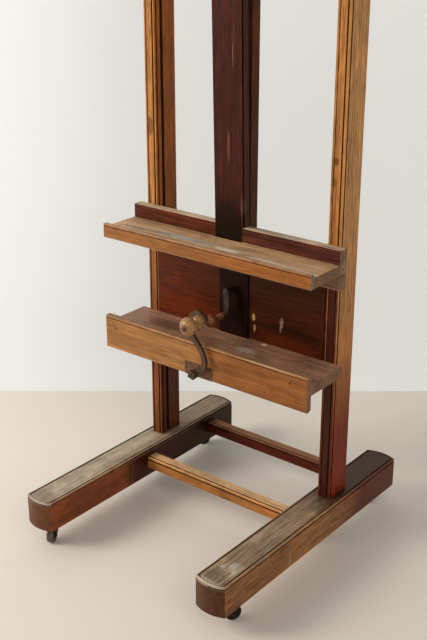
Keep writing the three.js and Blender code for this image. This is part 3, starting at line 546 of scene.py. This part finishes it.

# %% [markdown]
# ## Uprights and head rail
# The uprights are long straight boards with beaded edges and a groove that the carriage slides in.
# Low down, under the trays and the shelf, they are painted dark red for the shade there, and higher
# up they are pale, so the tones are given at heights. The groove's faces are nooks, painted dark
# for the shade deep in the groove.

# %% Uprights
GROOVE_FRONT, GROOVE_BACK = 0.0975, 0.109      # how far back the carriage groove starts and ends
SKIN = 0.0005                                  # leaves the outer faces of the board out
# Painted shade: the inner side and the front of the left upright darken towards the bottom, under
# the trays.
left_upright = timber("left_upright_timber", "z", side=[(0.45, "511F09"), (0.75, "95501A")],
                      front=[(0.42, "723B1C"), (0.75, "A9723C")], outer="93603A",
                      back="86552F", seed=2.2, fibre=1.1, pores=0.9, rub=0.35, extra=marked(
    ((-0.264, 0.079, 0.951), (0.012, 0.004, 0.024), "4A2A14", 0.6, 0.8)))
# Painted shade: the outer side and the front of the right upright darken below the trays.
right_upright = timber("right_upright_timber", "z",
                       side=[(0.30, "762303"), (0.50, "A26C3A"), (0.75, "BC8851")],
                       front=[(0.40, "35100A"), (0.66, "450703"), (0.74, "A46C38")], seed=9.4,
                       fibre=1.1, pores=0.8, blotch=0.6, rub=0.35, extra=marked(
    ((0.259, 0.079, 0.943), (0.008, 0.004, 0.009), "3E2010", 0.75, 0.6),
    ((0.256, 0.079, 0.897), (0.010, 0.004, 0.012), "4A2A14", 0.6, 0.7)))
for node, finish in (("upright_left", left_upright), ("upright_right", right_upright)):
    low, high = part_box(node)
    groove = ((low.x + SKIN, GROOVE_FRONT, low.z), (high.x - SKIN, GROOVE_BACK, high.z))
    made = dressed(node, finish, groove=groove)
    print(node, "has", len(made.data.polygons), "faces and is", round(high.z - low.z, 3), "m long")
dressed("head_rail", timber("head_rail_timber", "x", side="7A4A2E", seed=3.1))

# %% [markdown]
# ## Post, mast and carriage rails
# The mast is the darkest board of all: it was stained nearly black and is only worn through in a
# few places. Its front is painted darker towards its foot by the tray, which is painted shade, and
# four soft marks show the scuffs where a canvas leaned and painted shade where the mast meets the
# tray. The post behind it and the runners share one plainer finish.

# %% Post, mast and carriage rails
post_finish = timber("post_timber", "z", side="4A2614", seed=5.0, shine=0.15)
dressed("rack_post", post_finish)
# Painted shade: the mast's front goes nearly black towards the tray.
dressed("mast", timber("mast_timber", "z", side="40201A",
                       front=[(0.74, "090203"), (0.86, "37130E")], seed=6.0, figure=0.8,
                       fibre=1.5, pores=0.9, shine=0.18, gloss=0.45, extra=marked(
    ((-0.002, 0.048, 0.945), (0.004, 0.03, 0.036), "8C5A44", 0.35, 0.8),
    ((0.012, 0.050, 1.15), (0.0011, 0.03, 0.030), "A07060", 0.5, 0.5),
    ((0.033, 0.050, 0.81), (0.0016, 0.02, 0.022), "9A7A62", 0.5, 1.0),
    # Painted shade where the mast meets the tray.
    ((-0.005, 0.050, 0.77), (0.034, 0.03, 0.050), "0B0403", 0.8, 0.6))))
for node in ("runner_left", "runner_right"):
    dressed(node, post_finish)
carriage_rail_finish = timber("carriage_rail_timber", "x", side="4A2615", seed=5.6)
for node in ("carriage_rail_upper", "carriage_rail_lower"):
    dressed(node, carriage_rail_finish)
print("mast, post, runners and carriage rails dressed")

# %% [markdown]
# ## Panel
# Between the uprights hangs a thin panel of two boards and a stile. It is waxed and deep red, and
# the shade under the trays is painted into it: its front darkens to the right, and a paler band
# along its foot is painted light. It has a few old drips of ochre and grey paint. The drips could
# be modelled, but they are thinner than a bevel, so they are marks in the colour with torn edges.

# %% Panel
# Painted shade: the panel's front darkens towards the right.
panel_finish = timber("panel_timber", "x", side="53200E", front=[(-0.1, "4E1A09"), (0.1, "310F03")],
                      seed=1.0, shine=0.2, figure=0.8, fibre=1.5, gloss=0.42, extra=marked(
    ((0.053, 0.0745, 0.540), (0.0045, 0.004, 0.010), "B9A45A", 0.8, 0.8),
    ((0.056, 0.0745, 0.513), (0.0035, 0.004, 0.009), "C0A868", 0.8, 0.8),
    ((0.133, 0.0745, 0.545), (0.0050, 0.004, 0.013), "8C7C70", 0.7, 0.9),
    ((0.130, 0.0745, 0.528), (0.0020, 0.004, 0.010), "9A8A7C", 0.6, 0.6),
    # Painted light: a paler band along the foot of the panel, below the tray's shade.
    ((0.15, 0.0745, 0.495), (0.10, 0.004, 0.020), "742A0C", 0.35, 1.0),
    ((-0.16, 0.0745, 0.515), (0.12, 0.004, 0.030), "7E300E", 0.35, 1.0)))
for node in ("apron_left", "apron_right"):
    dressed(node, panel_finish)
# Painted shade: the stile is nearly black, the deep shade under the trays and the mast.
dressed("centre_stile", timber("stile_timber", "z", side="170606", seed=8.0, shine=0.12, rub=0.25))
print("panel finish has", len(panel_finish.node_tree.nodes), "nodes")

# %% [markdown]
# ## Canvas tray
# The tray is where the canvas stands and where most paint is spilled. A band of blue-grey and
# chalky smears runs along the front of the board and climbs over the strip, so the same smears are
# given to both pieces. Wide faint marks beneath them are the dust that settles behind a canvas.

# %% Canvas tray
smears = marked(
    ((-0.235, -0.016, 0.7276), (0.055, 0.0060, 0.004), "4E5658", 0.80, 1.0),
    ((-0.150, -0.010, 0.7276), (0.050, 0.0085, 0.004), "6F7C80", 0.85, 1.2),
    ((-0.095, -0.009, 0.7276), (0.045, 0.0080, 0.004), "93A2A6", 0.85, 1.1),
    ((-0.040, -0.008, 0.7276), (0.040, 0.0075, 0.004), "7C898B", 0.80, 1.2),
    ((0.045, -0.016, 0.7276), (0.040, 0.0080, 0.004), "D2CCBC", 0.85, 1.2),
    ((0.100, -0.020, 0.7276), (0.030, 0.0060, 0.004), "6A6A66", 0.70, 1.2),
    ((0.150, -0.024, 0.7276), (0.050, 0.0060, 0.004), "C8BEA8", 0.75, 1.1),
    ((0.235, -0.031, 0.7276), (0.060, 0.0045, 0.004), "D4CBB8", 0.80, 1.0),
    ((0.200, -0.048, 0.7366), (0.090, 0.0030, 0.003), "D0C0A2", 0.70, 0.9),
    ((-0.150, -0.050, 0.7366), (0.130, 0.0050, 0.003), "35302A", 0.60, 1.1))
dusty = marked(
    ((-0.05, -0.010, 0.7276), (0.16, 0.022, 0.003), "B49A78", 0.45, 0.9),
    ((0.10, 0.015, 0.7276), (0.06, 0.012, 0.003), "5A4634", 0.35, 1.2),
    ((-0.24, 0.020, 0.7276), (0.05, 0.02, 0.003), "7E6A54", 0.35, 1.0))


def stained_tray(t, point, colour):
    """Dust first, then the smears over it."""
    return smears(t, point, dusty(t, point, colour))


dressed("tray_board", timber("tray_board_timber", "x", side="7A5840", top="B6926B", seed=0.4,
                             figure=0.4, extra=stained_tray))
dressed("tray_front_strip", timber("tray_strip_timber", "x", side="786B63",
                                   front=[(-0.15, "8C5A31"), (0.15, "8E5525")], top="A07A54",
                                   seed=1.9, figure=0.45, fibre=0.75, blotch=0.5, extra=smears))
ledge_finish = timber("ledge_timber", "x", side="806550",
                      front=[(-0.05, "542313"), (0.05, "50271F")], top="AB967B", seed=3.3,
                      figure=0.9, fibre=1.4, shine=0.2, extra=marked(
    ((0.055, 0.056, 0.760), (0.028, 0.004, 0.004), "D8C6A4", 0.7, 0.9),
    ((0.26, 0.056, 0.760), (0.030, 0.005, 0.004), "3A2418", 0.5, 1.2)))
for node in ("tray_ledge_left", "tray_ledge_right"):
    dressed(node, ledge_finish)
batten_finish = timber("batten_timber", "x", side="755A49", seed=4.4)
for node in ("tray_batten_left", "tray_batten_right"):
    dressed(node, batten_finish)

# %% [markdown]
# ## Paint shelf
# The lower shelf holds brushes and pots. Its deep front board is the brightest wood on the easel,
# with a plugged screw hole near each end; its top is grey-brown with spilled and scraped paint. The
# plugs are flush with the wood, so they are dark round marks and not pieces.

# %% Paint shelf
shelf_finish = timber("shelf_timber", "x", side="7E5941", top="926C56", seed=2.8, figure=0.5,
                      fibre=1.0, marks=0.5, extra=marked(
    ((0.077, 0.012, 0.482), (0.028, 0.014, 0.003), "B0A696", 0.65, 1.3),
    ((0.060, -0.020, 0.482), (0.040, 0.012, 0.003), "9A8C7C", 0.35, 1.3),
    ((0.0905, 0.0655, 0.482), (0.0085, 0.0055, 0.003), "DCCFA8", 0.95, 0.5),
    ((-0.170, 0.020, 0.482), (0.060, 0.026, 0.003), "47281B", 0.6, 0.9),
    # Painted shadow: the dark patch on the shelf top under the lock's grip.
    ((-0.030, 0.000, 0.482), (0.050, 0.030, 0.003), "3C261B", 0.45, 1.0),
    ((0.22, 0.030, 0.482), (0.06, 0.03, 0.003), "4C3A2C", 0.4, 1.2)))
for node in ("shelf_board", "shelf_batten"):
    dressed(node, shelf_finish)
dressed("shelf_front_board", timber("shelf_strip_timber", "x", side="795D4B",
                                    front=[(-0.05, "97683B"), (0.1, "845028")], top="8A6846",
                                    seed=5.1, figure=0.45, fibre=0.75, blotch=0.5, extra=marked(
    ((-0.269, -0.0617, 0.473), (0.0032, 0.004, 0.0026), "23120A", 0.95, 0.3),
    ((-0.262, -0.0617, 0.472), (0.0060, 0.004, 0.0016), "5A3418", 0.7, 0.6),
    ((0.254, -0.0617, 0.477), (0.0032, 0.004, 0.0026), "2A100A", 0.95, 0.3),
    ((0.20, -0.0617, 0.500), (0.10, 0.003, 0.0030), "D0B08A", 0.5, 1.0),
    ((0.08, -0.0617, 0.455), (0.040, 0.004, 0.0250), "5E3517", 0.35, 0.7))))
dressed("clamp_block", timber("clamp_block_timber", "x", side="5A3422", seed=2.1))
dressed("clamp_jaw", timber("clamp_jaw_timber", "x", side="7A4A2E", seed=3.7))
print("shelf finish has", len(shelf_finish.node_tree.nodes), "nodes")

# %% [markdown]
# ## Iron
# The winding gear was forged and filed by hand, and its skin is pitted where it has rusted and been
# wiped with oil. High spots are polished brown by sleeves and hands. The castors are cast iron,
# nearly black, and the front left wheel is rubbed grey by the floor. One function makes them all
# from two clouds of noise, one for patches of rust and a finer one for the pits.

# %% Iron finish
def iron(name, code, rust="6A4A32", rough=0.5, pits=0.6, worn_code="8A7868", rub=0.6):
    """Old iron; code is its tone, rust the tone of the patches, pits how deep it is pitted."""
    finish = bpy.data.materials.new(name)
    finish.use_nodes = True
    t = finish.node_tree
    shader = t.nodes["Principled BSDF"]
    point = place(t, "TexCoord").outputs["Object"]
    cloud = place(t, "TexNoise", Vector=point, Scale=85.0, Detail=5.0, Roughness=0.65).outputs[0]
    pocks = place(t, "TexNoise", Vector=point, Scale=330.0, Detail=3.0, Roughness=0.6).outputs[0]
    colour = blended(t, band(t, cloud, 0.40, 0.62), tone(code), tone(rust))
    hollow = sums(t, "MULTIPLY", band(t, pocks, 0.50, 0.38), 0.7)
    colour = blended(t, hollow, colour, tone("17110D"))
    worn = place(t, "Group", {"node_tree": rubbed}, Point=point, Colour=colour, Rub=rub,
                 Rubbed=tone(worn_code), Grime=0.8, Marks=0.2).outputs
    t.links.new(worn["Colour"], shader.inputs["Base Color"])
    dull = sums(t, "ADD", sums(t, "MULTIPLY", cloud, 0.35), rough - 0.2)
    t.links.new(dull, shader.inputs["Roughness"])
    shader.inputs["Metallic"].default_value = 0.55
    bump = place(t, "Bump", Strength=pits, Distance=0.0008, Height=pocks)
    t.links.new(bump.outputs[0], shader.inputs["Normal"])
    return finish


gear_iron = iron("gear_iron", "4A3A2F")
plate_iron = iron("plate_iron", "5C4737", "8A5A38", 0.5, 0.5)
lock_iron = iron("lock_iron", "2C231E", "4A3424", 0.5, 0.5, "6A5A4E")
castor_iron = iron("castor_iron", "1E1C1B", "2C211B", 0.45, 0.3, "4A4541")
tread_iron = iron("worn_tread_iron", "5A544C", "6C6050", 0.45, 0.3, "A09A8E")
for node in ("winder_shaft", "winder_pinion", "winder_crank_arm", "winder_nut", "rack_strip",
             "winder_grip_pin", "lock_shoe", "mast_pin", "clamp_screw"):
    dressed(node, gear_iron, 0.0006)
for node in ("lock_screw", "lock_arm", "lock_grip_pin"):
    dressed(node, lock_iron, 0.0006)
dressed("crank_plate", plate_iron, 0.0004)
for node in slot_of:
    if node.startswith("castor_"):
        dressed(node, tread_iron if node == "castor_front_left_wheel" else castor_iron, 0.0003)
irons = (gear_iron, plate_iron, lock_iron, castor_iron, tread_iron)
print("iron finishes", [finish.name for finish in irons])

# %% [markdown]
# ## Turned grips
# The two grips were turned between centres: a row of balls and necks on one axis. The lathe's rule
# is simple enough to write down, so Geometry Nodes turns them here: the radius at any place is that
# of the ball it passes through, or of the neck between the balls. The skin runs out along the
# balls, turns in at the end and comes back down the bore, so each grip is one closed body with the
# hole that its pin goes through.

# %% Geometry-node helpers
def nodes_tree(name, inputs):
    """A Geometry Nodes tree with named inputs (name, kind, value) and a geometry output."""
    rows = [("Geometry", "Geometry", None), *inputs]
    return group(name, rows, [("Geometry", "Geometry")], "GeometryNodeTree")


def geo(tree, kind, settings=None, **plugs):
    """Adds a Geometry Nodes node."""
    return any_node(tree, "GeometryNode" + kind, settings, **plugs).outputs[0]


def run_tree(name, start, tree, values):
    """Runs a tree on a mesh with the given inputs and keeps the result as a plain mesh."""
    holder = bpy.data.objects.new(name, start)
    bpy.context.scene.collection.objects.link(holder)
    modifier = holder.modifiers.new("maker", "NODES")
    modifier.node_group = tree
    ids = {i.name: i.identifier for i in tree.interface.items_tree if i.in_out == "INPUT"}
    for key, value in values.items():
        modifier[ids[key]] = value
    bpy.context.view_layer.update()
    seen = holder.evaluated_get(bpy.context.evaluated_depsgraph_get())
    mesh = bpy.data.meshes.new_from_object(seen)
    holder.modifiers.clear()
    holder.data = mesh
    bm = bmesh.new()
    bm.from_mesh(mesh)
    bmesh.ops.remove_doubles(bm, verts=bm.verts, dist=1e-7)
    bmesh.ops.recalc_face_normals(bm, faces=bm.faces)
    if bm.calc_volume(signed=True) < 0:
        bmesh.ops.reverse_faces(bm, faces=bm.faces)
    bm.to_mesh(mesh)
    bm.free()
    return holder


def spot(tree, **parts):
    """A point from its X, Y and Z."""
    return place(tree, "CombineXYZ", **parts).outputs[0]


# %% The lathe
def lathe_tree():
    """Turns a grip with up to three balls, each with its place, half length and radius."""
    rows = [("Start", "Float", 0.0), ("End", "Float", 0.05), ("Axis_x", "Float", 0.0),
            ("Axis_z", "Float", 0.0), ("Bore", "Float", 0.004), ("Neck", "Float", 0.007),
            ("Around", "Int", 48), ("Along", "Int", 90)]
    for ball in "ABC":
        rows += [(f"{ball}_at", "Float", 0.0), (f"{ball}_half", "Float", 0.01),
                 (f"{ball}_radius", "Float", 0.0)]
    rows.append(("Finish", "Material", None))
    g, given, out = nodes_tree("ball_lathe", rows)
    stations = sums(g, "ADD", given["Along"], 3.0)
    grid = geo(g, "MeshGrid", Size_X=1.0, Size_Y=1.0,
               Vertices_X=sums(g, "ADD", given["Around"], 1.0), Vertices_Y=stations)
    at = place(g, "SeparateXYZ", i0=geo(g, "InputPosition")).outputs
    angle = sums(g, "MULTIPLY", sums(g, "ADD", at[0], 0.5), 2 * math.pi)
    row = sums(g, "MULTIPLY", sums(g, "ADD", at[1], 0.5), sums(g, "SUBTRACT", stations, 1.0))
    row = sums(g, "ROUND", row)
    outside = sums(g, "LESS_THAN", row, sums(g, "ADD", given["Along"], 0.5))
    share = sums(g, "DIVIDE", row, sums(g, "SUBTRACT", given["Along"], 1.0))
    share = sums(g, "MULTIPLY", sums(g, "MINIMUM", share, 1.0), outside)
    length = sums(g, "SUBTRACT", given["End"], given["Start"])
    y = sums(g, "ADD", given["Start"], sums(g, "MULTIPLY", share, length))
    radius = given["Neck"]
    for ball in "ABC":
        off = sums(g, "SUBTRACT", y, given[f"{ball}_at"])
        off = sums(g, "DIVIDE", off, given[f"{ball}_half"])
        bulge = sums(g, "SUBTRACT", 1.0, sums(g, "MULTIPLY", off, off))
        bulge = sums(g, "SQRT", sums(g, "MAXIMUM", bulge, 0.0))
        radius = sums(g, "MAXIMUM", radius, sums(g, "MULTIPLY", bulge, given[f"{ball}_radius"]))
    in_bore = sums(g, "COMPARE", row, sums(g, "ADD", given["Along"], 0.5), 0.6)
    inwards = sums(g, "SUBTRACT", given["Bore"], radius)
    radius = sums(g, "ADD", radius, sums(g, "MULTIPLY", in_bore, inwards))
    x = sums(g, "ADD", given["Axis_x"], sums(g, "MULTIPLY", radius, sums(g, "COSINE", angle)))
    z = sums(g, "ADD", given["Axis_z"], sums(g, "MULTIPLY", radius, sums(g, "SINE", angle)))
    turned = geo(g, "SetPosition", Geometry=grid, Position=spot(g, X=x, Y=y, Z=z))
    closed = geo(g, "MergeByDistance", Geometry=turned, Distance=1e-6)
    real = geo(g, "RealizeInstances", Geometry=closed)
    finished = geo(g, "SetMaterial", Geometry=real, Material=given["Finish"])
    g.links.new(finished, out["Geometry"])
    return g


lathe = lathe_tree()
print("lathe", len(lathe.nodes), "nodes")

# %% The two grips
# A ball is how far its middle is from the front end, its half length and its radius.
GRIPS = {
    "winder_grip": {"bore": 0.00425, "neck": 0.007,
                    "balls": [(0.053, 0.0155, 0.016), (0.0175, 0.0175, 0.0215)]},
    "lock_grip": {"bore": 0.00325, "neck": 0.005,
                  "balls": [(0.0545, 0.009, 0.009), (0.041, 0.0034, 0.0072),
                            (0.016, 0.0155, 0.016)]},
}
GRIP_WOOD = {
    "winder_grip": timber("winder_grip_wood", "y", side="946E48", seed=1.0, gloss=0.28, shine=0.6,
                          figure=0.5, marks=0.0, extra=marked(
                              ((0.026, -0.150, 0.576), (0.011, 0.006, 0.011),
                               "4A2E1C", 0.7, 0.5))),
    "lock_grip": timber("lock_grip_wood", "y", side="6E3C28", seed=2.0, gloss=0.2, shine=0.7,
                        figure=0.6, marks=0.0),
}
for node, shape in GRIPS.items():
    low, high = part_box(node)
    values = {"Start": low.y, "End": high.y, "Axis_x": (low.x + high.x) / 2,
              "Axis_z": (low.z + high.z) / 2, "Bore": shape["bore"], "Neck": shape["neck"],
              "Finish": GRIP_WOOD[node]}
    for ball, (at, half, radius) in zip("ABC", shape["balls"]):
        values |= {f"{ball}_at": low.y + at, f"{ball}_half": half, f"{ball}_radius": radius}
    grip = run_tree(node + "_turned", bpy.data.meshes.new(node + "_seed"), lathe, values)
    for polygon in grip.data.polygons:
        polygon.use_smooth = True
    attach(grip, body_holding[node])
    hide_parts(node)
    print(node, "turned with", len(grip.data.vertices), "points, dimensions in mm",
          [round(v * 1000, 1) for v in grip.dimensions],
          "solid", [round((b - a) * 1000, 1) for a, b in zip(low, high)])

# %% [markdown]
# ## Screws
# Slotted iron screws hold the crank plate to the shelf front and each castor plate to its rail. The
# heads are all the same and only turned differently, so Geometry Nodes makes one head, cuts its
# slot and sets a copy on each place with its own turn.

# %% Slotted screws
def screw_tree():
    """One slotted head on each point of the mesh, facing one way and turned at random."""
    g, given, out = nodes_tree("slotted_screws", [
        ("Radius", "Float", 0.0027), ("Rise", "Float", 0.0009), ("Facing", "Rotation", None),
        ("Seed", "Int", 3), ("Finish", "Material", None)])
    head = geo(g, "MeshCone", Vertices=24, Radius_Top=sums(g, "MULTIPLY", given["Radius"], 0.72),
               Radius_Bottom=given["Radius"], Depth=given["Rise"])
    slot_size = spot(g, X=sums(g, "MULTIPLY", given["Radius"], 2.6),
                     Y=sums(g, "MULTIPLY", given["Radius"], 0.26), Z=given["Rise"])
    cutter = geo(g, "MeshCube", Size=slot_size)
    cutter = geo(g, "Transform", Geometry=cutter, Translation=spot(g, Z=given["Rise"]))
    head = geo(g, "MeshBoolean", {"operation": "DIFFERENCE"}, i0=head, i1=cutter)
    turn = any_node(g, "FunctionNodeRandomValue", {"data_type": "FLOAT"},
                    i2=0.0, i3=math.pi, Seed=given["Seed"]).outputs[1]
    facing = any_node(g, "FunctionNodeRotateRotation", {"rotation_space": "LOCAL"},
                      i0=given["Facing"], i1=spot(g, Z=turn)).outputs[0]
    spread = geo(g, "InstanceOnPoints", Points=given["Geometry"], Instance=head, Rotation=facing)
    real = geo(g, "RealizeInstances", Geometry=spread)
    finished = geo(g, "SetMaterial", Geometry=real, Material=given["Finish"])
    g.links.new(finished, out["Geometry"])
    return g


screwing = screw_tree()


def screws(name, like, places, facing, seed, finish):
    """Screw heads on the places, riding with the solid they are like."""
    seats = bpy.data.meshes.new(name + "_seats")
    seats.from_pydata([Vector(p) for p in places], [], [])
    made = run_tree(name, seats, screwing, {"Facing": facing, "Seed": seed, "Finish": finish})
    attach(made, body_holding[like])
    print(name, "has", len(places), "heads and", len(made.data.polygons), "faces, dimensions",
          [round(v * 1000, 1) for v in made.dimensions])


# %% Crank plate and castor plates
SUNK = 0.0002            # how deep the heads sit in their plates
CRANK_INSET = 0.0075     # from the edges of the crank plate to its screws
CASTOR_INSET = 0.0045
CASTOR_PLATE = 0.0026    # thickness of a castor plate


low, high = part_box("crank_plate")
screws("crank_plate_screws", "crank_plate",
       [(x, low.y + SUNK, z) for x in (low.x + CRANK_INSET, high.x - CRANK_INSET)
        for z in (low.z + CRANK_INSET, high.z - CRANK_INSET)],
       (math.pi / 2, 0, 0), 5, gear_iron)
under = []
for node in slot_of:
    if node.startswith("castor_") and node.endswith("_plate"):
        low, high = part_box(node)
        under += [(x, y, high.z - CASTOR_PLATE + SUNK)
                  for x in (low.x + CASTOR_INSET, high.x - CASTOR_INSET)
                  for y in (low.y + CASTOR_INSET, high.y - CASTOR_INSET)]
screws("castor_plate_screws", "castor_front_left_plate", under, (math.pi, 0, 0), 8, castor_iron)
